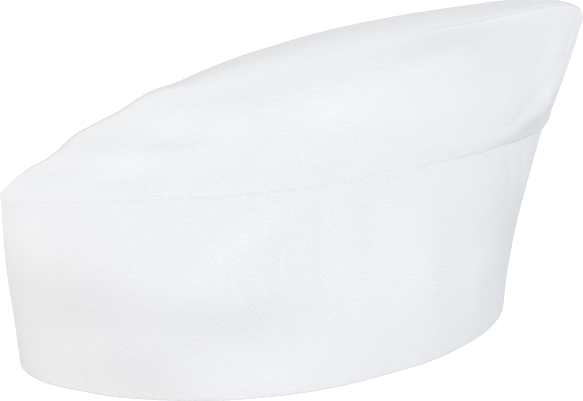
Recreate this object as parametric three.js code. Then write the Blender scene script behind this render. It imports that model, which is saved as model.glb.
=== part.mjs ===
// Garrison cap: an oval band of doubled cloth, two crown side panels and a long
// narrow top panel between them.
//
// Millimetres, +Z up. The rim lies flat on z = 0. +X points along the cap towards its
// raised peak end, -Y is the wearer's right-hand side, and x = 0, y = 0 is the middle
// of the whole cap's box. Each piece is a closed cloth wall of its own.
import * as THREE from 'three';

// Driving dimensions
const BAND_HEIGHT = 85.5;             // rim to band seam
const BAND_WALL = 1.8;                // two layers of cloth with interlining
const CROWN_WALL = 1.3;               // one layer of cloth with its seam allowance
const TIP_WALL = 3.0;                 // thickness of the wall through a pointed end
const GAP = 0.3;                      // clearance between sewn pieces
const MITRE_GAP = GAP / 2 / Math.SQRT2; // each wall's share of it where two meet at 45 degrees
const SIDE_PUFF = 4.5;                // how far a crown side swells out past a flat wall
const END_PUFF = 1.8;                 // how far the crown's peak end swells over the band seam
const TOP_TIP_WIDTH = 0.8;            // half of the top panel's width where its points are cut
const TOP_DOME = 1.6;                 // how far the top panel swells up between its seams

const BAND_STATIONS = 80;             // facets around the band
const BAND_ROWS = 9;                  // facets up the band
const CROWN_STATIONS = 44;            // facets along the crown
const SIDE_ROWS = 9;                  // facets up a crown side
const TOP_ROWS = 4;                   // facets across the top panel

// How the band's outline changes from the rim to the seam.
// height: share of BAND_HEIGHT. low, peak: the outline's two ends along the cap.
// width: its half-width. round: exponent of the sine, 1 for an ellipse and more for a
// lens. skew: how far the widest place leans to the peak end.
const BAND_LEVELS = [
  { height: 0.00, low: -119.4, peak: 120.0, width: 63.8, round: 1.14, skew: -0.01 },
  { height: 0.30, low: -122.5, peak: 123.5, width: 54.5, round: 1.23, skew: 0.02 },
  { height: 0.60, low: -125.0, peak: 129.0, width: 43.2, round: 1.42, skew: 0.07 },
  { height: 0.80, low: -125.7, peak: 133.0, width: 35.4, round: 1.53, skew: 0.10 },
  { height: 1.00, low: -125.9, peak: 137.1, width: 28.0, round: 1.64, skew: 0.13 },
];

// The ridge, which is where the crown sides meet the top panel.
// along: place along the cap. height: above the rim. width: half of the top panel.
// tilt: how far its right-hand seam lies above that height and its left-hand one below.
const RIDGE = [
  { along: -125.6, height: 89.0, width: 0.0, tilt: 0.0 },
  { along: -120.0, height: 95.0, width: 0.8, tilt: 0.3 },
  { along: -104.0, height: 104.6, width: 2.4, tilt: 1.0 },
  { along: -81.0, height: 117.0, width: 3.6, tilt: 1.7 },
  { along: -58.0, height: 128.0, width: 4.6, tilt: 2.3 },
  { along: -46.0, height: 130.6, width: 6.6, tilt: 2.5 },
  { along: -29.0, height: 133.6, width: 9.0, tilt: 0.9 },
  { along: -9.0, height: 138.3, width: 11.2, tilt: 0.7 },
  { along: 30.0, height: 144.6, width: 12.6, tilt: 0.1 },
  { along: 64.0, height: 148.0, width: 12.6, tilt: 0.3 },
  { along: 99.0, height: 149.8, width: 11.2, tilt: 0.2 },
  { along: 122.0, height: 150.6, width: 8.6, tilt: 0.2 },
  { along: 139.0, height: 150.2, width: 5.0, tilt: 0.1 },
  { along: 148.8, height: 148.8, width: 2.4, tilt: 0.0 },
  { along: 153.8, height: 145.4, width: 0.9, tilt: 0.0 },
  { along: 155.9, height: 140.0, width: 0.0, tilt: 0.0 },
];

// Soft folds and dents of the cloth.
// wall: the surface it is on. side: +1 right-hand, -1 left-hand. along: place along the
// cap. level: 0 at the wall's lower edge, 1 at its upper one. long, tall: its reach.
// lean: how far it moves along the cap from the lower to the upper edge. push: outwards.
const FOLDS = [
  { wall: 'band', side: 1, along: -74, level: 0.35, long: 26, tall: 0.30, lean: 10, push: -2.0 },
  { wall: 'band', side: 1, along: -6, level: 0.30, long: 34, tall: 0.22, lean: 20, push: -1.4 },
  { wall: 'band', side: 1, along: -28, level: 0.68, long: 14, tall: 0.26, lean: -22, push: 1.3 },
  { wall: 'band', side: 1, along: 40, level: 0.55, long: 8, tall: 0.40, lean: 4, push: -1.1 },
  { wall: 'band', side: 1, along: 72, level: 0.50, long: 9, tall: 0.40, lean: 6, push: 1.2 },
  { wall: 'band', side: -1, along: -52, level: 0.45, long: 24, tall: 0.30, lean: -12, push: -1.8 },
  { wall: 'band', side: -1, along: 34, level: 0.40, long: 26, tall: 0.30, lean: 16, push: -1.5 },
  { wall: 'side', side: 1, along: 26, level: 0.62, long: 22, tall: 0.30, lean: 14, push: 1.6 },
  { wall: 'side', side: 1, along: -40, level: 0.45, long: 16, tall: 0.35, lean: 12, push: -1.2 },
  { wall: 'side', side: 1, along: 112, level: 0.22, long: 12, tall: 0.20, lean: -8, push: -1.2 },
  { wall: 'side', side: -1, along: 10, level: 0.50, long: 22, tall: 0.30, lean: -14, push: -1.3 },
  { wall: 'side', side: -1, along: 84, level: 0.45, long: 16, tall: 0.30, lean: 8, push: 1.4 },
];

const SEAM = BAND_LEVELS[BAND_LEVELS.length - 1];
const RIDGE_LOW_END = RIDGE[0].along;
const RIDGE_PEAK_END = RIDGE[RIDGE.length - 1].along;

// The middle of the cap's box: the seam's low end and the tip of the peak are its ends.
const MIDDLE = (SEAM.low + RIDGE_PEAK_END) / 2;

// Reads a column of a table at a place between its rows, by a smooth curve through them.
function readTable(rows, key, place, column) {
  const last = rows.length - 1;
  const at = THREE.MathUtils.clamp(place, rows[0][key], rows[last][key]);
  let i = 0;
  while (i < last - 1 && at > rows[i + 1][key]) i += 1;
  const slope = (a, b) => (rows[b][column] - rows[a][column]) / (rows[b][key] - rows[a][key]);
  const step = rows[i + 1][key] - rows[i][key];
  const here = slope(i, i + 1);
  const tangent = (k) => {
    if (k === 0 || k === last) return here;
    const before = slope(k - 1, k);
    const after = slope(k, k + 1);
    return before * after <= 0 ? 0 : (2 * before * after) / (before + after);
  };
  const t = (at - rows[i][key]) / step;
  const low = rows[i][column];
  const high = rows[i + 1][column];
  return low * (1 + 2 * t) * (1 - t) ** 2 + high * (3 - 2 * t) * t ** 2
    + step * (tangent(i) * t * (1 - t) ** 2 - tangent(i + 1) * (1 - t) * t ** 2);
}

// Outward push of all folds on one wall at a place along it and up it.
function foldPush(wall, side, along, level) {
  let push = 0;
  for (const fold of FOLDS) {
    if (fold.wall !== wall || fold.side !== side) continue;
    const across = (along - fold.along - fold.lean * (level - fold.level)) / fold.long;
    const up = (level - fold.level) / fold.tall;
    push += fold.push * Math.exp(-across * across - up * up);
  }
  return push;
}

// Half of an outline: from its low end (share 0) to its peak end (share 1).
// inset thins it at the ends and narrow at its sides, for the inner face of a wall.
function halfOutline(level, share, inset, narrow) {
  const half = (level.peak - level.low) / 2 - inset;
  const middle = (level.peak + level.low) / 2;
  const away = -Math.cos(Math.PI * share);
  const bow = Math.sin(Math.PI * share) ** level.round;
  return {
    along: middle + half * away,
    out: Math.max((level.width - narrow) * bow * (1 + level.skew * away), 0),
  };
}

// A closed wall from a ring of closed sections, each a list of points of equal length.
// round: the last section joins the first one. Otherwise the two ends are capped.
function wallFromSections(sections, round) {
  const around = sections[0].length;
  const positions = sections.flat(2);
  const faces = [];
  const joins = round ? sections.length : sections.length - 1;
  for (let i = 0; i < joins; i += 1) {
    const here = i * around;
    const next = ((i + 1) % sections.length) * around;
    for (let j = 0; j < around; j += 1) {
      const k = (j + 1) % around;
      faces.push([here + j, next + j, next + k], [here + j, next + k, here + k]);
    }
  }
  if (!round) {
    const end = (sections.length - 1) * around;
    for (let j = 0; j < around - 2 - j; j += 1) {
      const back = around - 1 - j;
      faces.push([j, j + 1, back], [end + j, end + back, end + j + 1]);
      if (j + 1 < back - 1) {
        faces.push([j + 1, back - 1, back], [end + j + 1, end + back, end + back - 1]);
      }
    }
  }
  const geometry = new THREE.BufferGeometry();
  geometry.setAttribute('position', new THREE.Float32BufferAttribute(positions, 3));
  geometry.setIndex(faces.flat());
  geometry.computeVertexNormals();
  return geometry;
}

// A point of the cap: side +1 is the wearer's right, which is -Y.
const place = (along, out, height, side) => [along - MIDDLE, -side * out, height];

function makeBand() {
  const sections = [];
  const half = BAND_STATIONS / 2;
  for (let i = 0; i < BAND_STATIONS; i += 1) {
    const side = i < half ? 1 : -1;
    const share = (i < half ? i : BAND_STATIONS - i) / half;
    const outer = [];
    const inner = [];
    for (let j = 0; j <= BAND_ROWS; j += 1) {
      const up = j / BAND_ROWS;
      const level = {};
      for (const column of ['low', 'peak', 'width', 'round', 'skew']) {
        level[column] = readTable(BAND_LEVELS, 'height', up, column);
      }
      const height = up * (BAND_HEIGHT - GAP / 2);
      const outside = halfOutline(level, share, 0, 0);
      const inside = halfOutline(level, share, TIP_WALL, BAND_WALL);
      const calm = Math.sin(Math.PI * share) * Math.sin(Math.PI * Math.min(up * 1.2, 1));
      const push = foldPush('band', side, outside.along, up) * Math.max(calm, 0);
      outer.push(place(outside.along, outside.out + push, height, side));
      inner.push(place(inside.along, inside.out + push, height, side));
    }
    sections.push([...outer, ...inner.reverse()]);
  }
  return wallFromSections(sections, true);
}

// The ridge at one share of its length, from the low end (0) to the peak (1), moved
// by rise square to it within the cap's middle plane. across: 1 for its right-hand
// seam, -1 for its left-hand one, 0 for the middle between them.
function ridgeAt(share, rise, across) {
  const half = (RIDGE_PEAK_END - RIDGE_LOW_END) / 2;
  const middle = (RIDGE_PEAK_END + RIDGE_LOW_END) / 2;
  const along = middle - half * Math.cos(Math.PI * share);
  const step = 0.4;
  const before = Math.max(along - step, RIDGE_LOW_END);
  const after = Math.min(along + step, RIDGE_PEAK_END);
  const climb = readTable(RIDGE, 'along', after, 'height')
    - readTable(RIDGE, 'along', before, 'height');
  const reach = Math.hypot(after - before, climb);
  return {
    along: along - (rise * climb) / reach,
    height: readTable(RIDGE, 'along', along, 'height') + (rise * (after - before)) / reach
      + readTable(RIDGE, 'along', along, 'tilt') * across,
    width: readTable(RIDGE, 'along', along, 'width'),
  };
}

function makeSide(side) {
  const sections = [];
  for (let i = 0; i <= CROWN_STATIONS; i += 1) {
    const share = i / CROWN_STATIONS;
    const swell = Math.sin(Math.PI * share) ** 0.8;
    const outer = [];
    const inner = [];
    for (let j = 0; j <= SIDE_ROWS; j += 1) {
      const up = j / SIDE_ROWS;
      for (const [row, inset, narrow] of [[outer, 0, 0], [inner, TIP_WALL, CROWN_WALL]]) {
        const foot = halfOutline(SEAM, share, inset, narrow);
        const top = ridgeAt(share, -narrow - MITRE_GAP, side);
        const footOut = foot.out + GAP / 2;
        const topOut = Math.max(top.width - narrow + MITRE_GAP, GAP / 2);
        const puff = SIDE_PUFF * swell * Math.sin(Math.PI * up ** 0.85);
        const endPuff = END_PUFF * share ** 8 * Math.sin(Math.PI * up ** 0.75);
        const fold = foldPush('side', side, foot.along, up) * swell * Math.sin(Math.PI * up);
        row.push(place(
          foot.along + (top.along - foot.along) * up + endPuff,
          footOut + (topOut - footOut) * up + puff + fold,
          BAND_HEIGHT + GAP / 2 + (top.height - BAND_HEIGHT - GAP / 2) * up,
          side,
        ));
      }
    }
    const { width } = ridgeAt(share, 0, 0);
    const depth = Math.min(CROWN_WALL / 2, width * 0.75);
    const mitre = ridgeAt(share, -depth - 2 * MITRE_GAP, side);
    const mitreOut = Math.max(width - depth + MITRE_GAP, GAP / 2);
    sections.push([...outer, place(mitre.along, mitreOut, mitre.height, side), ...inner.reverse()]);
  }
  return wallFromSections(side > 0 ? sections : sections.reverse(), false);
}

function makeTop() {
  const sections = [];
  for (let i = 0; i <= CROWN_STATIONS; i += 1) {
    const share = i / CROWN_STATIONS;
    const { width } = ridgeAt(share, 0, 0);
    if (width < TOP_TIP_WIDTH) continue;
    const depth = Math.min(CROWN_WALL, width * 0.75);
    const outer = [];
    const inner = [];
    for (let j = 0; j <= TOP_ROWS; j += 1) {
      const across = 1 - (2 * j) / TOP_ROWS;
      const dome = TOP_DOME * (1 - across * across) * Math.min(width / 8, 1);
      const over = ridgeAt(share, MITRE_GAP + dome, across);
      const under = ridgeAt(share, MITRE_GAP + dome - depth, across);
      outer.push(place(over.along, (width - MITRE_GAP) * across, over.height, 1));
      inner.push(place(under.along, (width - MITRE_GAP - depth) * across, under.height, 1));
    }
    sections.push([...outer, ...inner.reverse()]);
  }
  return wallFromSections(sections, false);
}

const group = new THREE.Group();
group.name = 'garrison_cap';

// Adds one piece in white twill, with its faces turned outwards.
function addPiece(name, slot, colour, geometry) {
  const material = new THREE.MeshStandardMaterial({ color: colour, roughness: 0.9, metalness: 0 });
  material.name = slot;
  const mesh = new THREE.Mesh(geometry, material);
  mesh.name = name;
  group.add(mesh);
}

addPiece('band', 'band_twill', '#eceef0', makeBand());
addPiece('crown_right', 'crown_right_twill', '#eeeff1', makeSide(1));
addPiece('crown_left', 'crown_left_twill', '#eeeff1', makeSide(-1));
addPiece('crown_top', 'crown_top_twill', '#eceef0', makeTop());

export default group;
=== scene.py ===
# %% [markdown]
# # A garrison cap in white twill
#
# The real cap is a soft wedge of cotton twill. A tall band of doubled cloth goes all
# the way round. Two side panels are sewn to its upper edge, and a long narrow top panel
# joins the two sides and rises to a peak at one end.
#
# The CAD part gives the frame: where each piece lies and how big it is. Here each
# plain solid gets a cloth piece in its place, with soft folds, rolled seams, stitches
# and a woven finish. Lengths are written in millimetres and turned into Blender's
# metres at the last moment.

import functools
import math

import bpy
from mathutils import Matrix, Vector, noise


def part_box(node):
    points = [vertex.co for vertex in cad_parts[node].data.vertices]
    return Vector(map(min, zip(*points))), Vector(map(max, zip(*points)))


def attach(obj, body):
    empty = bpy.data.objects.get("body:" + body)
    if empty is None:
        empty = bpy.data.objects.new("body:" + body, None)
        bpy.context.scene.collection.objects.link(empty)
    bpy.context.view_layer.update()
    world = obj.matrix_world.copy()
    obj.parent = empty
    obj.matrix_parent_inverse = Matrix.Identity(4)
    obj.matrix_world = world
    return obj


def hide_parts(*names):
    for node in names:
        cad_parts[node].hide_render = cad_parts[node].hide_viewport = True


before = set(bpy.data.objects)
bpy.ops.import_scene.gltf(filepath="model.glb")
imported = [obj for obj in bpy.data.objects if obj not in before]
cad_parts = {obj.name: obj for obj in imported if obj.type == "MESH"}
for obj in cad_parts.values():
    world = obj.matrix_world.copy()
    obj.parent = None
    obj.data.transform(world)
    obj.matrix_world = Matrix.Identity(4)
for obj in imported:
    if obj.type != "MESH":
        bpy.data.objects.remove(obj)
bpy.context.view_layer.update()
MM = 0.001

# %% [markdown]
# ## The camera
#
# The photograph looks down on the cap's right-hand side from a little towards its low
# end. A long lens keeps the far side almost as big as the near one, so the camera
# stands well back. Its place and lens were fitted to the photograph's outline. The
# camera is turned so that the cap sits a little left of the middle, as it does in the
# photograph, and the frame cuts its lowest edge.

# %% Camera
FRAME_WIDTH = 583          # pixels of the photograph
CAMERA_TURN = math.radians(17.78)
CAMERA_RISE = math.radians(24.1)
CAMERA_REACH = 1.2         # metres from LOOK_AT
FOCAL_PIXELS = 2584.2      # focal length, in pixels of the photograph
SENSOR_WIDTH = 36.0        # mm, Blender's own
LOOK_AT = Vector((-0.015, 0.0, 0.075))
AIM_RIGHT = 0.0110         # metres that the middle of the picture lies right of LOOK_AT
AIM_DOWN = 0.0066          # and below it


def direction(turn, rise):
    """The way towards a place seen from the cap. turn: from the near side to the left."""
    return Vector((
        -math.sin(turn) * math.cos(rise),
        -math.cos(turn) * math.cos(rise),
        math.sin(rise),
    ))


view_back = direction(CAMERA_TURN, CAMERA_RISE)
view_right = Vector((math.cos(CAMERA_TURN), -math.sin(CAMERA_TURN), 0.0))
view_up = view_back.cross(view_right)

bpy.ops.object.camera_add(location=LOOK_AT + view_back * CAMERA_REACH)
camera = bpy.context.object
camera.name = "photo_camera"
aim = LOOK_AT + view_right * AIM_RIGHT - view_up * AIM_DOWN
camera.rotation_euler = (aim - camera.location).to_track_quat("-Z", "Y").to_euler()
camera.data.sensor_width = SENSOR_WIDTH
camera.data.lens = SENSOR_WIDTH * FOCAL_PIXELS / FRAME_WIDTH
bpy.context.scene.camera = camera
print("lens:", round(camera.data.lens, 1), "mm, up vector:", view_up.to_tuple(3))

# %% [markdown]
# ## Reading a table smoothly
#
# The cap has no straight lines, so its shape is kept in short tables with one row for
# each place where it changes. A smooth curve through the rows gives every value in
# between. The curve never swings past a row, so no bump appears that the table
# doesn't ask for.

# %% Smooth table
def read_table(rows, key, place, column):
    """The value of a column at a place between the rows, by a smooth curve."""
    last = len(rows) - 1
    at = min(max(place, rows[0][key]), rows[last][key])
    i = 0
    while i < last - 1 and at > rows[i + 1][key]:
        i += 1

    def slope(a, b):
        return (rows[b][column] - rows[a][column]) / (rows[b][key] - rows[a][key])

    def tangent(k):
        if k in (0, last):
            return slope(i, i + 1)
        before, after = slope(k - 1, k), slope(k, k + 1)
        return 0.0 if before * after <= 0 else 2 * before * after / (before + after)

    step = rows[i + 1][key] - rows[i][key]
    t = (at - rows[i][key]) / step
    return (
        rows[i][column] * (1 + 2 * t) * (1 - t) ** 2
        + rows[i + 1][column] * (3 - 2 * t) * t ** 2
        + step * (tangent(i) * t * (1 - t) ** 2 - tangent(i + 1) * (1 - t) * t ** 2)
    )


def table(columns, *rows):
    """Rows of numbers with named columns."""
    names = columns.split()
    return [dict(zip(names, row)) for row in rows]


def row_at(rows, key, place):
    """A whole row between the rows of a table."""
    return {name: read_table(rows, key, place, name) for name in rows[0]}


def smooth(t):
    """0 below 0, 1 above 1, and a soft step between."""
    t = min(max(t, 0.0), 1.0)
    return t * t * (3 - 2 * t)


def bell(distance, reach):
    """1 in the middle, fading to nothing past about twice the reach."""
    return math.exp(-(distance / reach) ** 2)


def hump(t, lean=1.0, power=1.0):
    """0 at both ends and 1 between. lean: over 1 moves the top towards the end."""
    return max(math.sin(math.pi * t ** lean), 0.0) ** power


print("a soft step a quarter of the way along:", smooth(0.25))

# %% [markdown]
# ## The cap's outlines
#
# Three lines make the cap: the oval of the rim, the long lens where band and crown
# are sewn, and the ridge where the crown's sides meet the top panel. The ends of the
# cap and the height of the seam are read from the CAD nodes, so the cloth lies where
# the solids lie.

# %% Outlines
band_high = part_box("band")[1]
crown_low, crown_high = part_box("crown_right")
SEAM_HEIGHT = (band_high.z + crown_low.z) / 2 / MM
LOW_END = crown_low.x / MM
TIP_END = crown_high.x / MM
RIM_HALF = band_high.y / MM

# One row for each level of the band. low, peak: its two ends. width: half its width.
# round: 1 for an ellipse, more for a pointed lens. skew: lean towards the peak.
BAND_LEVELS = table(
    "height low peak width round skew",
    (0.0, LOW_END + 5.7, 103.6, RIM_HALF, 1.09, 0.02),
    (25.6, LOW_END + 3.4, 107.6, 56.8, 1.20, 0.03),
    (51.3, LOW_END + 0.9, 114.2, 45.6, 1.42, 0.06),
    (68.4, LOW_END + 0.2, 118.6, 36.5, 1.53, 0.10),
    (SEAM_HEIGHT, LOW_END, 122.9, 28.0, 1.64, 0.13),
)

# One row for each place along the ridge. width: half of the top panel. tilt: how far
# its right-hand seam lies above that height. arch: how high it rises between its
# seams. square: 2 for a round arch, more for a flat panel whose edges turn down.
# roll, depth: how far down and how far in the side rolls towards the panel.
# groove: how deep the seam lies.
RIDGE = table(
    "along height width tilt arch square roll depth groove",
    (LOW_END - 0.4, 89.8, 0.0, 0.0, 0.0, 2.0, 3.0, 0.3, 0.0),
    (-135.0, 94.5, 0.8, 0.3, 0.3, 2.0, 4.0, 0.8, 0.0),
    (-127.0, 99.5, 1.6, 0.6, 0.5, 2.0, 5.0, 1.1, 0.0),
    (-119.0, 102.8, 2.4, 1.0, 0.8, 2.0, 6.0, 1.2, 0.0),
    (-113.0, 106.6, 2.7, 1.2, 0.9, 2.0, 6.2, 1.2, 0.0),
    (-106.0, 112.2, 3.0, 1.4, 1.0, 2.0, 6.5, 1.4, 0.0),
    (-94.0, 117.3, 3.4, 1.7, 1.2, 2.0, 7.0, 1.6, 0.0),
    (-85.0, 120.8, 3.6, 1.9, 1.3, 2.0, 7.5, 1.8, 0.0),
    (-77.0, 125.1, 3.9, 2.2, 1.5, 2.0, 8.0, 1.9, 0.0),
    (-71.0, 127.6, 4.6, 2.4, 1.7, 2.2, 8.0, 2.0, 0.0),
    (-66.0, 129.0, 5.4, 2.4, 1.9, 2.3, 8.0, 2.1, 0.0),
    (-58.0, 129.9, 7.0, 2.2, 2.4, 2.5, 8.5, 2.1, 0.0),
    (-44.0, 132.5, 9.0, 0.9, 3.4, 2.6, 9.0, 2.0, 0.0),
    (-24.0, 136.5, 11.2, 0.7, 4.2, 2.6, 9.5, 1.8, 0.0),
    (15.0, 142.6, 12.6, 0.1, 4.5, 2.6, 9.5, 1.5, 0.0),
    (46.0, 146.4, 12.6, 0.3, 3.4, 2.6, 9.0, 1.0, 0.03),
    (64.0, 148.1, 12.0, 0.3, 2.0, 3.4, 7.0, 0.7, 0.3),
    (84.0, 149.0, 11.0, 0.2, 1.4, 4.5, 7.0, 0.4, 0.5),
    (107.0, 150.1, 8.6, 0.2, 1.2, 4.5, 6.0, 0.4, 0.5),
    (124.0, 149.7, 5.0, 0.1, 0.8, 4.0, 5.0, 0.3, 0.4),
    (133.8, 147.9, 2.4, 0.0, 0.5, 3.0, 4.0, 0.3, 0.25),
    (139.4, 145.1, 0.9, 0.0, 0.2, 2.0, 3.0, 0.3, 0.1),
    (TIP_END + 0.9, 140.0, 0.0, 0.0, 0.0, 2.0, 3.0, 0.2, 0.0),
)
BAND_WALL = 1.7            # two layers of twill
CROWN_WALL = 1.1           # one layer with its seam allowance
TIP_WALL = 2.6             # through the pointed ends
CLIMB_REACH = 0.4          # mm each way over which the ridge's climb is measured


def half_outline(level, share, inner):
    """A level's outline at a share of its length: (along, out). inner: 0 to 1."""
    half = (level["peak"] - level["low"]) / 2 - inner * TIP_WALL
    middle = (level["peak"] + level["low"]) / 2
    away = -math.cos(math.pi * share)
    bow = hump(share, power=level["round"])
    width = level["width"] - inner * BAND_WALL
    return middle + half * away, max(width * bow * (1 + level["skew"] * away), 0.0)


@functools.cache
def band_level(height):
    """The band's row for any height."""
    return row_at(BAND_LEVELS, "height", height)


SEAM = band_level(SEAM_HEIGHT)
RIM = band_level(0.0)


@functools.cache
def ridge_row(share):
    """The ridge's row at a share of its length, and the way that it climbs there."""
    low, tip = RIDGE[0]["along"], RIDGE[-1]["along"]
    along = (tip + low) / 2 - (tip - low) / 2 * math.cos(math.pi * share)
    row = row_at(RIDGE, "along", along)
    row["along"] = along
    before, after = max(along - CLIMB_REACH, low), min(along + CLIMB_REACH, tip)
    climb = (read_table(RIDGE, "along", after, "height")
             - read_table(RIDGE, "along", before, "height"))
    length = math.hypot(after - before, climb)
    row["climb"], row["run"] = climb / length, (after - before) / length
    return row


def ridge_at(share, rise, across):
    """A place on the ridge, moved square to it by rise: (along, height)."""
    row = ridge_row(share)
    height = row["height"] + row["tilt"] * across
    return row["along"] - rise * row["climb"], height + rise * row["run"]


print("seam at", round(SEAM_HEIGHT, 1), "mm, ends at", round(LOW_END, 1), round(TIP_END, 1))

# %% [markdown]
# ## Columns of the mesh
#
# A piece of cloth needs mesh columns that are about as far apart everywhere. Where an
# outline turns sharply at a pointed end, equal steps along the cap would be too long,
# so the steps are measured round the rim, the seam and the ridge together. Each
# stitch of the topstitching gets four columns, two of them close to its needle hole,
# so that a hole can be small without a finer mesh everywhere.

# %% Columns
STITCHES = 95              # stitches along each side of the cap
STITCH_STEPS = (0.0, 0.1, 0.5, 0.9)   # where the columns lie within a stitch
COLUMNS = STITCHES * len(STITCH_STEPS)
FINE_STEPS = 4000          # steps for measuring the outlines


def even_shares(goals):
    """Shares of the cap's length at goals from 0 to 1 round its three lines."""
    lengths = [0.0, 0.0, 0.0]
    last = None
    track = []
    for i in range(FINE_STEPS + 1):
        share = i / FINE_STEPS
        now = (half_outline(RIM, share, 0), half_outline(SEAM, share, 0),
               ridge_at(share, 0.0, 0.0))
        if last:
            lengths = [a + math.dist(p, q) for a, p, q in zip(lengths, last, now)]
        track.append(lengths)
        last = now
    totals = track[-1]
    even = [sum(a / b for a, b in zip(row, totals)) / 3 for row in track]
    shares, i = [], 0
    for goal in goals:
        while i < FINE_STEPS - 1 and even[i + 1] < goal:
            i += 1
        part = (goal - even[i]) / max(even[i + 1] - even[i], 1e-12)
        shares.append(min(max((i + part) / FINE_STEPS, 0.0), 1.0))
    shares[0], shares[-1] = 0.0, 1.0
    return shares, totals


GOALS = [(s + step) / STITCHES for s in range(STITCHES) for step in STITCH_STEPS] + [1.0]
SHARES, TOTALS = even_shares(GOALS)
SEAM_LENGTH = 2 * TOTALS[1]


def column(i):
    """Column i on the way round the cap: (side, share, millimetres of cloth)."""
    if i <= COLUMNS:
        return 1, SHARES[i], GOALS[i] * SEAM_LENGTH / 2
    j = 2 * COLUMNS - i
    return -1, SHARES[j], (2 - GOALS[j]) * SEAM_LENGTH / 2


print("round the rim", round(2 * TOTALS[0]), "mm, round the seam", round(SEAM_LENGTH), "mm")

# %% [markdown]
# ## Folds and dents
#
# Worn cloth is never flat. Each row below is one soft fold or dent: where it lies, how
# far it reaches along and up the cap, how much it leans, and how far it pushes the
# cloth out (or in, when negative). A bell curve fades each one into the rest. The
# rows with side 1 are read off the light and dark patches of the photograph: the cloth
# is bright above a fold, where it faces the light, and dark below it. The rows with
# side -1 lie on the side that it doesn't show, and are made up in the same style. Under
# the folds lies a faint crumple from Blender's noise function, as no cloth is smooth
# between them.

# %% Folds
BAND_FOLDS = table(
    "side along height long tall lean push",
    (1, -110.0, 54.0, 28, 20, 2, 3.6),
    (1, -80.0, 52.0, 20, 14, 3, 1.5),
    (1, -50.0, 49.0, 30, 12, 8, 3.4),
    (1, -38.0, 59.0, 9, 11, 17, 1.2),
    (1, -34.0, 25.0, 34, 10, 4, -1.1),
    (1, -94.0, 12.0, 14, 11, 0, -2.0),
    (1, -116.0, 3.0, 9, 12, 0, -1.9),
    (1, -30.0, 4.0, 36, 16, 0, 1.3),
    (1, 0.0, 66.0, 6, 22, 2, -0.7),
    (1, 24.0, 66.0, 6, 20, 2, -0.7),
    (1, 50.0, 42.0, 12, 42, 4, 1.3),
    (1, 78.0, 26.0, 6, 18, 3, 0.9),
    (1, 100.5, 73.0, 1.7, 11, -2.3, -0.9),
    (1, 110.0, 72.0, 1.7, 10, -0.8, -0.8),
    (-1, -84.0, 44.0, 30, 14, -6, 3.0),
    (-1, -30.0, 56.0, 34, 12, 10, 2.4),
    (-1, 18.0, 30.0, 30, 20, 12, -2.0),
    (-1, 64.0, 46.0, 10, 34, 4, 1.3),
    (-1, 97.0, 70.0, 3, 12, 2, -0.6),
)
SIDE_FOLDS = table(
    "side along height long tall lean push",
    (1, -88.0, 97.0, 14, 7, 4, 1.9),
    (1, -64.0, 114.0, 18, 8, 8, 2.2),
    (1, -76.0, 106.5, 16, 3.5, 4, -0.7),
    (1, -36.0, 107.0, 16, 10, 8, 1.3),
    (1, 9.0, 112.0, 24, 15, 6, 1.8),
    (1, 44.0, 108.0, 18, 15, 0, 0.9),
    (1, 64.0, 137.0, 24, 9, 2, -0.9),
    (1, 82.0, 128.0, 18, 16, -6, -1.0),
    (1, 101.0, 88.0, 2, 6, 3, -0.6),
    (1, 92.0, 88.0, 2, 4, 1, -0.3),
    (1, -121.0, 99.5, 5, 1.6, 1, -0.5),
    (1, -129.0, 96.0, 4, 1.4, 1, -0.4),
    (-1, -70.0, 106.0, 18, 9, -6, 1.5),
    (-1, -8.0, 112.0, 26, 15, -10, 1.5),
    (-1, 40.0, 106.0, 22, 15, 6, -1.2),
    (-1, 84.0, 118.0, 16, 18, 4, 1.1),
)
FOLD_EDGE = 9              # where a fold's bell has faded out, squared

# The crumple's sizes in mm, and how far each pushes the cloth in and out.
CRUMPLE = table("size push", (34.0, 0.55), (15.0, 0.22), (6.5, 0.06))
CRUMPLE_SQUASH = 1.3       # the crumple is a little longer than it is tall
SIDES_APART = 60.0         # mm in the noise, so that the two sides differ
RIPPLE_LENGTH = 6.0        # mm between the ripples along a seam
RIPPLE_GAIN = 1.6          # brings their noise to about -1 to 1


def sum_of_bells(rows, side, along, height):
    """What all the rows of one side add up to at a place."""
    total = 0.0
    for row in rows:
        if row["side"] != side:
            continue
        up = (height - row["height"]) / row["tall"]
        across = (along - row["along"] - row["lean"] * up) / row["long"]
        reach = across * across + up * up
        if reach < FOLD_EDGE:
            total += row["push"] * math.exp(-reach)
    return total


def crumple(side, along, height):
    """Faint unevenness of the cloth in three sizes."""
    place = Vector((along, side * SIDES_APART, height * CRUMPLE_SQUASH))
    return sum(row["push"] * noise.noise(place / row["size"]) for row in CRUMPLE)


def pucker(side, along):
    """Uneven small ripples, -1 to 1, that a sewn seam draws into the cloth."""
    return RIPPLE_GAIN * noise.noise(Vector((along / RIPPLE_LENGTH, side * 9.0, 0.3)))


print(len(BAND_FOLDS), "band folds and", len(SIDE_FOLDS), "crown folds")

# %% [markdown]
# ## Where band and crown are sewn
#
# Along most of the cap the crown lies flush with the band, and only the stitches
# show. Towards the peak the crown swells over the seam and pinches it into a dark
# crease. These rows say how the seam changes along the cap. The seam also lies a
# little higher at the low end, where it follows the wrinkled corner.

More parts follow.
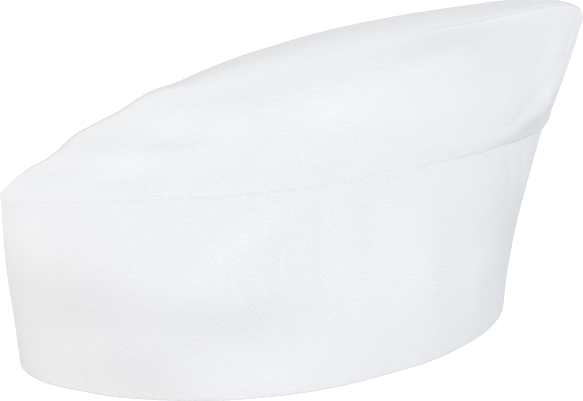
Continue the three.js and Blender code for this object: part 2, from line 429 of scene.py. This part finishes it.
# %% Meeting
# lift: how far the seam lies above its usual height. drop: topstitching below the
# seam. tuck: how deep the crown goes in at the seam. over: how far it swells out
# above the seam, and rise: how high up that is. hole: depth of the needle holes.
MEETING = table(
    "along lift drop tuck over rise hole",
    (LOW_END, 0.9, 0.9, 0.0, 0.0, 6.0, 0.12),
    (-90.0, 0.5, 0.8, 0.0, 0.3, 9.0, 0.2),
    (-40.0, 0.0, 0.8, 0.0, 0.7, 11.0, 0.3),
    (20.0, 0.0, 1.1, 0.05, 0.6, 11.0, 0.34),
    (48.0, 0.0, 1.7, 0.2, 0.4, 9.0, 0.3),
    (80.0, 0.0, 2.1, 0.4, 0.5, 6.0, 0.16),
    (97.0, 0.0, 2.1, 0.5, 1.1, 5.0, 0.12),
    (106.0, 0.0, 2.0, 0.6, 2.4, 9.0, 0.12),
    (114.0, 0.0, 1.9, 0.7, 3.6, 13.0, 0.12),
    (123.0, 0.0, 1.8, 0.7, 4.2, 16.0, 0.12),
)


@functools.cache
def meeting(along):
    """The row of the seam at a place along the cap."""
    return row_at(MEETING, "along", along)


print("topstitching", MEETING[0]["drop"], "to", MEETING[-1]["drop"], "mm below the seam")

# %% [markdown]
# ## Shaping a grid into cloth
#
# Every panel starts as Blender's grid primitive. Its vertices are then pushed to
# their places, as a sculptor would, one row after another. Where two edges of the
# grid meet, merging by distance sews them into a closed wall of cloth, and the
# open ends are filled. Each vertex also gets a place in a UV map that is measured in
# metres of cloth, so the weave keeps its size on every panel.

# %% Cloth helper
MERGE = 0.004              # mm between vertices that are sewn into one
SOFT_ANGLE = math.radians(60)


def start_clean():
    """Nothing selected, so an operator acts only on what comes next."""
    if bpy.context.mode != "OBJECT":
        bpy.ops.object.mode_set(mode="OBJECT")
    bpy.ops.object.select_all(action="DESELECT")


def cloth_from_grid(name, ends, points, cloth):
    """Shapes a grid: points[i][j] is a place in mm, cloth[i][j] its UV in mm.
    ends: "closed" if the last column joins the first, else "open" with filled ends."""
    start_clean()
    count_x, count_y = len(points), len(points[0])
    bpy.ops.mesh.primitive_grid_add(
        x_subdivisions=count_x - 1, y_subdivisions=count_y - 1, size=1.0)
    piece = bpy.context.object
    piece.name = piece.data.name = name
    mesh = piece.data
    flat = []
    for j in range(count_y):
        for i in range(count_x):
            flat.extend(v * MM for v in points[i][j])
    mesh.vertices.foreach_set("co", flat)
    corners = []
    for loop in mesh.loops:
        j, i = divmod(loop.vertex_index, count_x)
        corners.extend(v * MM for v in cloth[i][j])
    mesh.uv_layers.active.data.foreach_set("uv", corners)
    mesh.update()
    bpy.ops.object.mode_set(mode="EDIT")
    bpy.ops.mesh.select_all(action="SELECT")
    bpy.ops.mesh.remove_doubles(threshold=MERGE * MM)
    if ends == "open":
        bpy.ops.mesh.select_all(action="DESELECT")
        bpy.ops.mesh.select_non_manifold(extend=False)
        bpy.ops.mesh.edge_face_add()
        bpy.ops.mesh.select_all(action="SELECT")
    bpy.ops.mesh.normals_make_consistent(inside=False)
    bpy.ops.object.mode_set(mode="OBJECT")
    bpy.ops.object.shade_smooth_by_angle(angle=SOFT_ANGLE)
    print(name, len(mesh.vertices), "vertices", len(mesh.polygons), "faces")
    return piece


print("creases over", round(math.degrees(SOFT_ANGLE)), "degrees stay crisp")

# %% [markdown]
# ## The band
#
# The real band is one strip of twill folded double, so its lower edge is a soft fold
# with no hem, and its upper edge is turned in and sewn to the crown. The wall is a
# loop: up the outside, over the upper edge, down the inside and round the fold. The
# needle holes of the topstitching are small pits near the upper edge, deepest in the
# middle of the cap, where the photograph shows them best. The strip is closed by a
# plain seam, which is put at the peak end, as the photograph doesn't show where it is.

# %% Band profile
PIT_REACH = 0.28           # a needle hole reaches this far above and below its middle
ROW_STEP = 1.32            # height of a mesh row
LAST_ROW = 4.4             # below the upper edge, where the finer rows take over
LAST_GAP = 0.6             # and how far short of that place the rows may stop
INNER_ROWS = 14


def band_profile(drop):
    """(height, inner share) up the outside, over the top, down inside, round the fold.
    drop: how far the topstitching lies below the upper edge."""
    top = SEAM_HEIGHT
    path = [(0.75, 0.0)]
    rise = path[0][0]
    while rise < top - LAST_ROW - LAST_GAP:
        rise += ROW_STEP
        path.append((min(rise, top - LAST_ROW), 0.0))
    for below in (drop + 1.3, drop + 0.8, drop + 0.5, drop + PIT_REACH, drop,
                  drop - PIT_REACH, drop - 0.5, 0.2):
        path.append((top - below, 0.0))
    path += [(top - 0.12, 0.0), (top - 0.03, 0.05), (top, 0.2), (top, 0.65),
             (top - 0.3, 0.9), (top - 0.8, 1.0)]
    path += [(top - 0.8 - (top - 1.8) * (k + 1) / INNER_ROWS, 1.0)
             for k in range(INNER_ROWS)]
    path += [(0.4, 0.9), (0.1, 0.7), (0.0, 0.5), (0.08, 0.25), (0.3, 0.08)]
    path.append(path[0])
    return path


print("rows round the band's wall:", len(band_profile(MEETING[0]["drop"])))

# %% Place on the band
CALM_WIDTH = 9.0           # folds fade out where the cap is narrower than this
SEAM_CALM = 12.0           # and over this height below the seam
RIPPLE = 0.16              # depth of the seam's ripples in the band
RIPPLE_REACH = 6.0
BEAD_OUT = 0.12            # the cloth swells this much just below the stitches
BEAD_DROP = 2.6            # how far below them
BEAD_REACH = 1.8


def band_point(side, share, height, inner):
    """A place on the band in mm, before the needle holes."""
    level = band_level(height)
    outer = half_outline(level, share, 0)
    inside = half_outline(level, share, 1)
    along = outer[0] + (inside[0] - outer[0]) * inner
    out = outer[1] + (inside[1] - outer[1]) * inner
    meet = meeting(outer[0])
    below = SEAM_HEIGHT - height
    calm = min(outer[1] / CALM_WIDTH, 1.0) ** 2
    fade = min((below + 1) / SEAM_CALM, 1.0)
    out += calm * fade * (sum_of_bells(BAND_FOLDS, side, outer[0], height)
                          + crumple(side, outer[0], height))
    below_stitches = below - meet["drop"]
    out += calm * RIPPLE * pucker(side, outer[0]) * bell(below_stitches, RIPPLE_REACH)
    out += calm * BEAD_OUT * bell(below_stitches - BEAD_DROP, BEAD_REACH)
    return along, out, height + meet["lift"] * (height / SEAM_HEIGHT) ** 3


print("half the rim's width in mm:", round(band_point(1, 0.5, 0.0, 0.0)[1], 1))

# %% Band
PIT_WIDTH = 3.0            # needle holes fade where half the cap is narrower than this
JOIN_GROOVE = 0.5          # depth of the closing seam


def make_band():
    """The band's wall, one mesh column after another round the cap."""
    points, cloth = [], []
    for i in range(2 * COLUMNS + 1):
        side, share, u = column(i)
        foot = half_outline(SEAM, share, 0)[0]
        drop, pit = meeting(foot)["drop"], meeting(foot)["hole"]
        hole = i % len(STITCH_STEPS) == 0
        line, patch = [], []
        v = 0.0
        last = None
        for height, inner in band_profile(drop):
            along, out, z = band_point(side, share, height, inner)
            if hole and inner == 0.0 and abs(SEAM_HEIGHT - drop - height) < PIT_REACH / 2:
                out -= pit * min(out / PIT_WIDTH, 1.0)
            if i == COLUMNS and inner == 0.0:
                along -= JOIN_GROOVE
            if last:
                v += math.hypot(height - last[0], (inner - last[1]) * BAND_WALL)
            last = (height, inner)
            line.append((along, -side * out, z))
            patch.append((u, v))
        points.append(line)
        cloth.append(patch)
    return cloth_from_grid("cap_band", "closed", points, cloth)


cap_band = make_band()

# %% [markdown]
# ## The crown's two sides
#
# A side panel starts at the band's upper edge and ends at the ridge. The cloth is not
# stretched flat between the two seams: it swells out over the band, then rolls in
# towards the top seam, softly along most of the ridge and sharply near the peak. At
# its foot it takes over the band's own folds, so that the two stay flush. At the peak
# the two sides are sewn together, and the folded seam inside shows as a low welt with
# a pressed line beside it. The same function shapes both sides, and only the folds
# differ.

# %% Roll towards the top seam
SIDE_ROWS = 62
ROLL_LIMIT = 0.6           # of a side's height, the most that the roll takes up
SHORT_SIDE = 12.0          # a side that is less tall than this rolls in less


def side_profile():
    """(share of the height, inner share) round one side panel's wall."""
    path = [(0.0, 0.0), (0.004, 0.0), (0.01, 0.0)]
    path += [(k / SIDE_ROWS, 0.0) for k in range(1, SIDE_ROWS)]
    path += [(0.992, 0.0), (0.997, 0.0), (1.0, 0.0), (1.0, 0.3), (1.0, 0.9)]
    path += [(1 - k / INNER_ROWS, 1.0) for k in range(INNER_ROWS + 1)]
    path += [(0.0, 0.5), path[0]]
    return path


def shoulder(row, fall, tall):
    """How far the roll towards the top seam stands out, this far below the seam."""
    roll = min(row["roll"], ROLL_LIMIT * tall)
    depth = row["depth"] * min(tall / SHORT_SIDE, 1.0)
    if fall < roll:
        return depth * (1 - (1 - fall / roll) ** 2)
    return depth * (1 - (fall - roll) / max(tall - roll, 0.1))


print("rows round a side's wall:", len(side_profile()))

# %% Place on a side
LAP = 0.06                 # how far an edge laps over its neighbour's
HALF_GAP = 0.05            # the two sides stay this far from the cap's middle plane
SIDE_PUFF = 0.4            # how far a side swells past a flat wall
END_PUFF = 1.4             # how far the peak end swells past a straight line
ELBOW = 1.1                # how far the peak end stands out just above the band
ELBOW_RISE = 5.0           # how high above it
ELBOW_REACH = 3.6
END_POWER = 8              # keeps both of these to the peak end
FULL_PANEL = 3.0           # the roll fades where half the top panel is narrower
FIRM_WIDTH = 4.0           # the seam's swell fades where half the cap is narrower
SWELL_SHARE = 0.62         # the swell's reach, as a share of its height over the seam
FLUSH_REACH = 6.0          # over this height the crown leaves the band's own folds
TUCK_REACH = 1.0           # about half the width of the tuck at the band
GROOVE_REACH = 0.6         # and of the groove at the top seam
WELT = 0.25                # thickness that the folded seam adds at the peak end
WELT_FROM = 0.5            # share of the height where the welt starts
WELT_FULL = 0.75           # and where it is at its thickest
WELT_WIDTH = 3.2
WELT_RISE = 1.2            # mm over which it rises from the peak end's edge
WELT_FALL = 0.9            # and over which it falls again
WELT_GROOVE = 0.35         # depth of the line beside it
LINE_REACH = 0.7           # about half the width of that line


@functools.cache
def seam_push(side, share):
    """How far the band's upper edge stands out from the plain outline."""
    return band_point(side, share, SEAM_HEIGHT, 0.0)[1] - half_outline(SEAM, share, 0)[1]


def side_point(side, share, up, inner):
    """A place on a crown side in mm."""
    narrow = inner * CROWN_WALL
    row = ridge_row(share)
    foot = half_outline(SEAM, share, inner)
    top = ridge_at(share, -narrow, side)
    meet = meeting(foot[0])
    base = SEAM_HEIGHT + meet["lift"] - LAP
    tall = max(top[1] - base, 1.0)
    rise, fall = up * tall, (1 - up) * tall
    height = base + rise
    # the plain swelling between the two seams
    puff = SIDE_PUFF * hump(share, power=0.8) * hump(up, lean=1.25, power=2)
    shoulder_out = shoulder(row, fall, tall) * min(row["width"] / FULL_PANEL, 1.0)
    end = share ** END_POWER * (END_PUFF * hump(up, lean=0.75)
                                + ELBOW * bell(rise - ELBOW_RISE, ELBOW_REACH))
    along = foot[0] + (top[0] - foot[0]) * up + end
    top_out = max(row["width"] - narrow, 0.0)
    out = foot[1] + (top_out - foot[1]) * up + puff + shoulder_out
    # its own folds, and what the band's folds pass on at the seam
    calm = min(max(out, 0.0) / CALM_WIDTH, 1.0) ** 2 * hump(up, power=0.7)
    out += calm * (sum_of_bells(SIDE_FOLDS, side, along, height) + crumple(side, along, height))
    out += seam_push(side, share) * bell(rise, FLUSH_REACH)
    # the meeting with the band, and the sunk top seam
    firm = min(foot[1] / FIRM_WIDTH, 1.0)
    out += firm * (meet["over"] * bell(rise - meet["rise"], SWELL_SHARE * meet["rise"])
                   - meet["tuck"] * bell(rise, TUCK_REACH))
    out -= row["groove"] * bell(fall, GROOVE_REACH)
    # the welt along the upper half of the peak end, and the pressed line beside it
    edge = SEAM["peak"] + (RIDGE[-1]["along"] - SEAM["peak"]) * up
    inside_edge = edge - along + end
    if inner == 0.0:
        out += smooth((up - WELT_FROM) / (WELT_FULL - WELT_FROM)) * (
            WELT * smooth((WELT_WIDTH - inside_edge) / WELT_FALL)
            * smooth(inside_edge / WELT_RISE)
            - WELT_GROOVE * bell(inside_edge - WELT_WIDTH, LINE_REACH))
    return along, max(out, 0.0) + HALF_GAP, height


print("half way up the middle of the right side, in mm:",
      [round(v, 1) for v in side_point(1, 0.5, 0.5, 0.0)])


# %% Crown sides
def make_side(side, name):
    """One side panel's wall, one mesh column after another along the cap."""
    profile = side_profile()
    points, cloth = [], []
    for share in SHARES:
        line, patch = [], []
        for up, inner in profile:
            along, out, height = side_point(side, share, up, inner)
            line.append((along, -side * out, height))
            patch.append((along, height))
        points.append(line)
        cloth.append(patch)
    return cloth_from_grid(name, "open", points, cloth)


crown_side_right = make_side(1, "crown_side_right")
crown_side_left = make_side(-1, "crown_side_left")

# %% [markdown]
# ## The top panel
#
# The top panel is a long narrow strip, pointed at both ends. Over most of the cap it
# is pulled into a soft arch that carries on the roll of the sides, so the seams
# hardly show. Near the peak it lies flat, and its edges turn down into the seams.

# %% Top panel
TOP_STEPS = 26             # facets across
NARROWEST = 0.5            # half the width at which the panel's points end
WALL_LIMIT = 0.75          # of half the width, the most that the wall takes up


def top_point(share, turn, under):
    """A place on the top panel in mm. turn: 0 at the right seam, 1 at the left one.
    under: 0 on the outside of the cloth, 1 on the inside."""
    row = ridge_row(share)
    across = math.cos(math.pi * turn)
    depth = min(CROWN_WALL, WALL_LIMIT * row["width"]) * under
    rise = row["arch"] * (1 - abs(across) ** row["square"])
    along, height = ridge_at(share, rise - depth, across)
    return along, -(row["width"] + LAP - depth) * across, height


def make_top():
    """The top panel's wall: across the outside, then back on the inside."""
    points, cloth = [], []
    for share in SHARES:
        if ridge_row(share)["width"] < NARROWEST:
            continue
        line, patch = [], []
        for under in (0, 1):
            for k in range(TOP_STEPS + 1):
                turn = k / TOP_STEPS
                along, y, height = top_point(share, turn if not under else 1 - turn, under)
                line.append((along, y, height))
                patch.append((along, y))
        line.append(line[0])
        patch.append(patch[0])
        points.append(line)
        cloth.append(patch)
    return cloth_from_grid("crown_top_panel", "open", points, cloth)


crown_top_panel = make_top()

# %% [markdown]
# ## Topstitching
#
# A line of machine stitches holds the band's turned-in edge. Each stitch is a short
# piece of thread that comes out of one needle hole and goes into the next. One
# stitch is modelled, then copied round the seam, each copy turned to follow it. The
# thread is pulled tight, so it lies mostly sunk in the cloth.

# %% Topstitching
THREAD = 0.34              # thickness of the thread
SUNK = 0.09                # how deep the middle of the thread lies
STITCH_SHARE = 0.84        # of the way from hole to hole


def make_stitching():
    """All the stitches as one piece, joined from turned copies of one."""
    start_clean()
    bpy.ops.mesh.primitive_uv_sphere_add(segments=8, ring_count=6, radius=0.5)
    model = bpy.context.object
    model.name = "one_stitch"
    copies = []
    for k in range(2 * STITCHES):
        ends = []
        for i in (k * len(STITCH_STEPS), (k + 1) * len(STITCH_STEPS)):
            side, share, _ = column(i)
            drop = meeting(half_outline(SEAM, share, 0)[0])["drop"]
            along, out, z = band_point(side, share, SEAM_HEIGHT - drop, 0.0)
            ends.append(Vector((along, -side * out, z)) * MM)
        gap = ends[1] - ends[0]
        stitch = model.copy()
        stitch.data = model.data.copy()
        bpy.context.collection.objects.link(stitch)
        inward = Vector((-gap.y, gap.x, 0.0)).normalized()
        stitch.location = (ends[0] + ends[1]) / 2 + inward * SUNK * MM
        stitch.rotation_euler = gap.to_track_quat("X", "Z").to_euler()
        stitch.scale = (gap.length * STITCH_SHARE, THREAD * MM, THREAD * MM)
        copies.append(stitch)
    start_clean()
    bpy.data.objects.remove(model)
    for stitch in copies:
        stitch.select_set(True)
    bpy.context.view_layer.objects.active = copies[0]
    bpy.ops.object.join()
    joined = bpy.context.object
    bpy.ops.object.transform_apply(location=True, rotation=True, scale=True)
    bpy.ops.object.shade_smooth()
    joined.name = joined.data.name = "band_topstitching"
    print(2 * STITCHES, "stitches,", len(joined.data.polygons), "faces")
    return joined


band_topstitching = make_stitching()

# %% [markdown]
# ## White cotton twill
#
# Twill is woven so that its yarns make fine diagonal ribs. The ribs come from a wave
# pattern on the UV map, a second wave across them breaks each rib into yarns, and a
# little distortion makes some yarns thicker than others. The pattern only tilts the
# surface a little, since real ribs are a tenth of a millimetre high. The colour is
# nearly white and drifts a little from place to place, as washed cotton does.

# %% Twill material
RIB_PITCH = 0.0009         # metres from rib to rib
WAVES_PER_UNIT = 0.3142    # a Wave texture of scale 1 has one band every 0.3142 units
YARNS_PER_RIB = 1.3
YARN_SHARE = 0.3           # how much of the relief comes from the yarns
RIB_HEIGHT = 0.00012       # metres
DRIFT = (0.97, 0.97, 0.985)   # the darker end of the colour's drift


def twill(name, colour, turn):
    """A woven cotton finish. turn: degrees between the ribs and the UV map's u."""
    material = bpy.data.materials.new(name)
    material.use_nodes = True
    nodes, links = material.node_tree.nodes, material.node_tree.links
    shader = nodes["Principled BSDF"]
    shader.inputs["Roughness"].default_value = 0.88
    shader.inputs["Sheen Weight"].default_value = 0.12
    shader.inputs["Sheen Roughness"].default_value = 0.5
    shader.inputs["Specular IOR Level"].default_value = 0.25
    uv = nodes.new("ShaderNodeTexCoord")
    turned = nodes.new("ShaderNodeMapping")
    turned.inputs["Rotation"].default_value = (0, 0, math.radians(turn))
    links.new(uv.outputs["UV"], turned.inputs["Vector"])
    ribs = nodes.new("ShaderNodeTexWave")
    ribs.bands_direction = "Y"
    ribs.inputs["Scale"].default_value = WAVES_PER_UNIT / RIB_PITCH
    ribs.inputs["Distortion"].default_value = 0.6
    ribs.inputs["Detail"].default_value = 2.0
    ribs.inputs["Detail Scale"].default_value = 1.5
    links.new(turned.outputs["Vector"], ribs.inputs["Vector"])
    yarns = nodes.new("ShaderNodeTexWave")
    yarns.bands_direction = "X"
    yarns.inputs["Scale"].default_value = WAVES_PER_UNIT / RIB_PITCH * YARNS_PER_RIB
    yarns.inputs["Distortion"].default_value = 1.0
    links.new(turned.outputs["Vector"], yarns.inputs["Vector"])
    weave = nodes.new("ShaderNodeMix")
    weave.data_type = "FLOAT"
    weave.inputs["Factor"].default_value = YARN_SHARE
    links.new(ribs.outputs["Fac"], weave.inputs["A"])
    links.new(yarns.outputs["Fac"], weave.inputs["B"])
    bump = nodes.new("ShaderNodeBump")
    bump.inputs["Strength"].default_value = 0.4
    bump.inputs["Distance"].default_value = RIB_HEIGHT
    links.new(weave.outputs["Result"], bump.inputs["Height"])
    links.new(bump.outputs["Normal"], shader.inputs["Normal"])
    place = nodes.new("ShaderNodeTexCoord")
    cloud = nodes.new("ShaderNodeTexNoise")
    cloud.inputs["Scale"].default_value = 18.0
    cloud.inputs["Detail"].default_value = 3.0
    links.new(place.outputs["Object"], cloud.inputs["Vector"])
    tint = nodes.new("ShaderNodeMix")
    tint.data_type = "RGBA"
    tint.inputs["A"].default_value = (*(c * d for c, d in zip(colour, DRIFT)), 1)
    tint.inputs["B"].default_value = (*colour, 1)
    links.new(cloud.outputs["Fac"], tint.inputs["Factor"])
    # Painted shade and highlights: a number on each vertex mixes a few percent of black into
    # the colour.
    painted_shading = nodes.new("ShaderNodeAttribute")
    painted_shading.attribute_name = "painted_shading"
    shaded_colour = nodes.new("ShaderNodeMix")
    shaded_colour.data_type = "RGBA"
    shaded_colour.inputs["B"].default_value = (0, 0, 0, 1)
    links.new(painted_shading.outputs["Fac"], shaded_colour.inputs["Factor"])
    links.new(tint.outputs["Result"], shaded_colour.inputs["A"])
    links.new(shaded_colour.outputs["Result"], shader.inputs["Base Color"])
    return material


BAND_WHITE = (0.692, 0.690, 0.695)
# The crown's white is a touch lighter than the band's: painted light on the crown.
CROWN_WHITE_PAINTED_LIGHTER = (0.703, 0.702, 0.706)
THREAD_WHITE = (0.75, 0.752, 0.758)
band_cloth = twill("band_white_twill", BAND_WHITE, turn=18)
crown_cloth = twill("crown_white_twill", CROWN_WHITE_PAINTED_LIGHTER, turn=18)
thread = twill("stitching_thread", THREAD_WHITE, turn=60)
print("made", band_cloth.name, crown_cloth.name, thread.name)

# %% [markdown]
# ## Painted shade and highlights
#
# Folds and lamps alone don't give quite the photograph's tones. Some of its shade
# comes from folds too faint to read. So each vertex also carries a number in an
# attribute, which mixes a few percent of black into the white. Where it is high this
# is painted shade, and where it is lower than all round it is a painted highlight. The
# rows below are soft patches like the folds, and were tuned until the tones agreed, so
# they stand in for shade and are not marks that the cloth really has. The two rows with
# side -1 are made up in the same style. The crown's white is a touch lighter than the
# band's for the same reason, which paints more light on the crown.

# %% Patches
# push: percent of painted shade on a place, and when negative, a painted highlight against the
# rest.
PAINTED_SHADING = table(
    "side along height long tall lean push",
    (1, -113.0, 43.0, 26, 18, -4, 6.0),
    (1, -76.0, 42.0, 18, 10, 0, 2.0),
    (1, -48.0, 33.0, 30, 11, 6, 4.6),
    (1, -91.0, 8.0, 20, 12, -3, 6.0),
    (1, 102.0, 42.0, 12, 30, -4, 5.0),
    (1, 54.0, 141.5, 34, 6, 0, 5.0),
    (1, 72.0, 145.5, 20, 3.5, 0, 4.5),
    (1, 4.0, 136.0, 36, 8, 6, 3.2),
    (1, -40.0, 127.0, 40, 8, 14, 3.2),
    (1, -94.0, 112.0, 20, 6, 6, 4.0),
    (1, -122.0, 97.0, 14, 4, 7, 3.0),
    (1, 92.0, 134.0, 20, 12, 0, 3.5),
    (1, 112.0, 95.5, 12, 10, 8, 8.5),
    (1, -44.0, 64.0, 10, 12, 19, -3.5),
    (1, -65.0, 119.0, 12, 6, 3, -3.0),
    (1, -84.0, 101.0, 11, 6, 1, -2.5),
    (1, -41.0, 114.0, 10, 5, 2, -2.0),
    (1, 12.0, 118.0, 22, 11, 2, -3.5),
    (1, 50.0, 110.0, 22, 8, 2, -2.0),
    (1, 70.0, 152.0, 24, 3, 0, -4.5),
    (1, 124.0, 124.0, 6, 16, 3, -3.5),
    (1, -28.0, 9.0, 24, 9, 0, -2.0),
    (1, 34.0, 46.0, 34, 18, 0, -1.5),
    (1, -132.0, 72.0, 9, 16, 0, -2.5),
    (-1, -84.0, 30.0, 26, 10, 0, 2.0),
    (-1, 10.0, 40.0, 30, 12, 6, 2.0),
)
# Painted shade over the whole cloth; the painted highlights are where less of it lies.
BASE_PAINTED_SHADE = 3.5            # percent greyer all over, which the whitest places lack


def paint_shading(piece):
    """Writes the painted shade and highlights at each vertex into an attribute."""
    grey = []
    for vertex in piece.data.vertices:
        along, y, height = vertex.co / MM
        painted_shading = BASE_PAINTED_SHADE + sum_of_bells(PAINTED_SHADING, 1 if y < 0 else -1, along, height)
        grey.append(painted_shading / 100)
    values = piece.data.attributes.new("painted_shading", "FLOAT", "POINT")
    values.data.foreach_set("value", grey)
    print(piece.name, "is at most", round(100 * max(grey), 1), "percent greyer")


for piece, material, node, slot in (
    (cap_band, band_cloth, "band", "band_twill"),
    (crown_side_right, crown_cloth, "crown_right", "crown_right_twill"),
    (crown_side_left, crown_cloth, "crown_left", "crown_left_twill"),
    (crown_top_panel, crown_cloth, "crown_top", "crown_top_twill"),
):
    piece.data.materials.clear()
    piece.data.materials.append(material)
    # Paints shade and highlights into the cloth's colour.
    paint_shading(piece)
    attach(piece, "root")
    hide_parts(node)
band_topstitching.data.materials.append(thread)
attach(band_topstitching, "root")

# %% [markdown]
# ## Floor and light
#
# The photograph shows the cap on pure white, because its background was cut out. A
# floor that were really so bright would light the cap from below and wash its folds
# out. So the floor is pale grey to the cap, and a Light Path node adds a glow that
# only the camera sees. The light is soft all round: a sky that is brightest low down,
# one broad lamp in front on the left, and weaker ones left, right and behind, so that
# no side falls dark. The left lamps are a touch warm and the right one cool. Nothing
# in the photograph tells where its lamps stood. Their places were chosen by comparing
# its tones with single lamps in many places, and the rest was tuned.

# %% Floor
FLOOR_RADIUS = 8.0         # metres
FLOOR_GREY = 0.82
FLOOR_GLOW = 0.4           # only the camera sees it

start_clean()
bpy.ops.mesh.primitive_circle_add(vertices=96, radius=FLOOR_RADIUS, fill_type="NGON")
floor = bpy.context.object
floor.name = "floor"
floor_paint = bpy.data.materials.new("pale_floor")
floor_paint.use_nodes = True
floor_shader = floor_paint.node_tree.nodes["Principled BSDF"]
floor_shader.inputs["Base Color"].default_value = (FLOOR_GREY, FLOOR_GREY, FLOOR_GREY, 1)
floor_shader.inputs["Roughness"].default_value = 0.9
floor_shader.inputs["Specular IOR Level"].default_value = 0.0
floor_shader.inputs["Emission Color"].default_value = (1, 1, 1, 1)
seen = floor_paint.node_tree.nodes.new("ShaderNodeLightPath")
glow = floor_paint.node_tree.nodes.new("ShaderNodeMath")
glow.operation = "MULTIPLY"
glow.inputs[1].default_value = FLOOR_GLOW
floor_paint.node_tree.links.new(seen.outputs["Is Camera Ray"], glow.inputs[0])
floor_paint.node_tree.links.new(glow.outputs["Value"], floor_shader.inputs["Emission Strength"])
floor.data.materials.append(floor_paint)
print("floor of radius", FLOOR_RADIUS, "m")

# %% Sky and lamps
SKY_LOW = 0.91             # brightness of the sky at the horizon
SKY_TOP = 0.60             # and overhead
world = bpy.data.worlds.new("soft_sky")
world.use_nodes = True
sky_nodes, sky_links = world.node_tree.nodes, world.node_tree.links
sky = sky_nodes["Background"]
sky.inputs["Color"].default_value = (0.98, 0.99, 1.0, 1)
way = sky_nodes.new("ShaderNodeTexCoord")
upward = sky_nodes.new("ShaderNodeSeparateXYZ")
fall_off = sky_nodes.new("ShaderNodeMapRange")
fall_off.inputs["To Min"].default_value = SKY_LOW
fall_off.inputs["To Max"].default_value = SKY_TOP
sky_links.new(way.outputs["Generated"], upward.inputs["Vector"])
sky_links.new(upward.outputs["Z"], fall_off.inputs["Value"])
sky_links.new(fall_off.outputs["Result"], sky.inputs["Strength"])
bpy.context.scene.world = world

LAMPS = table(
    "name turn rise energy angle colour",
    ("front_window", 30.0, 25.0, 1.24, 70.0, (1.0, 0.978, 0.945)),
    ("left_fill", 90.0, 15.0, 0.58, 70.0, (1.0, 0.965, 0.91)),
    ("cool_fill", -45.0, 35.0, 0.845, 70.0, (0.80, 0.90, 1.0)),
    ("back_fill", 200.0, 40.0, 0.35, 70.0, (0.97, 0.98, 1.0)),
)
for lamp in LAMPS:
    start_clean()
    bpy.ops.object.light_add(type="SUN")
    light = bpy.context.object
    light.name = lamp["name"]
    light.data.energy = lamp["energy"]
    light.data.color = lamp["colour"]
    light.data.angle = math.radians(lamp["angle"])
    towards = direction(math.radians(lamp["turn"]), math.radians(lamp["rise"]))
    light.rotation_euler = (-towards).to_track_quat("-Z", "Y").to_euler()
bpy.context.scene.view_settings.view_transform = "Standard"
print("lamps:", [lamp["name"] for lamp in LAMPS])
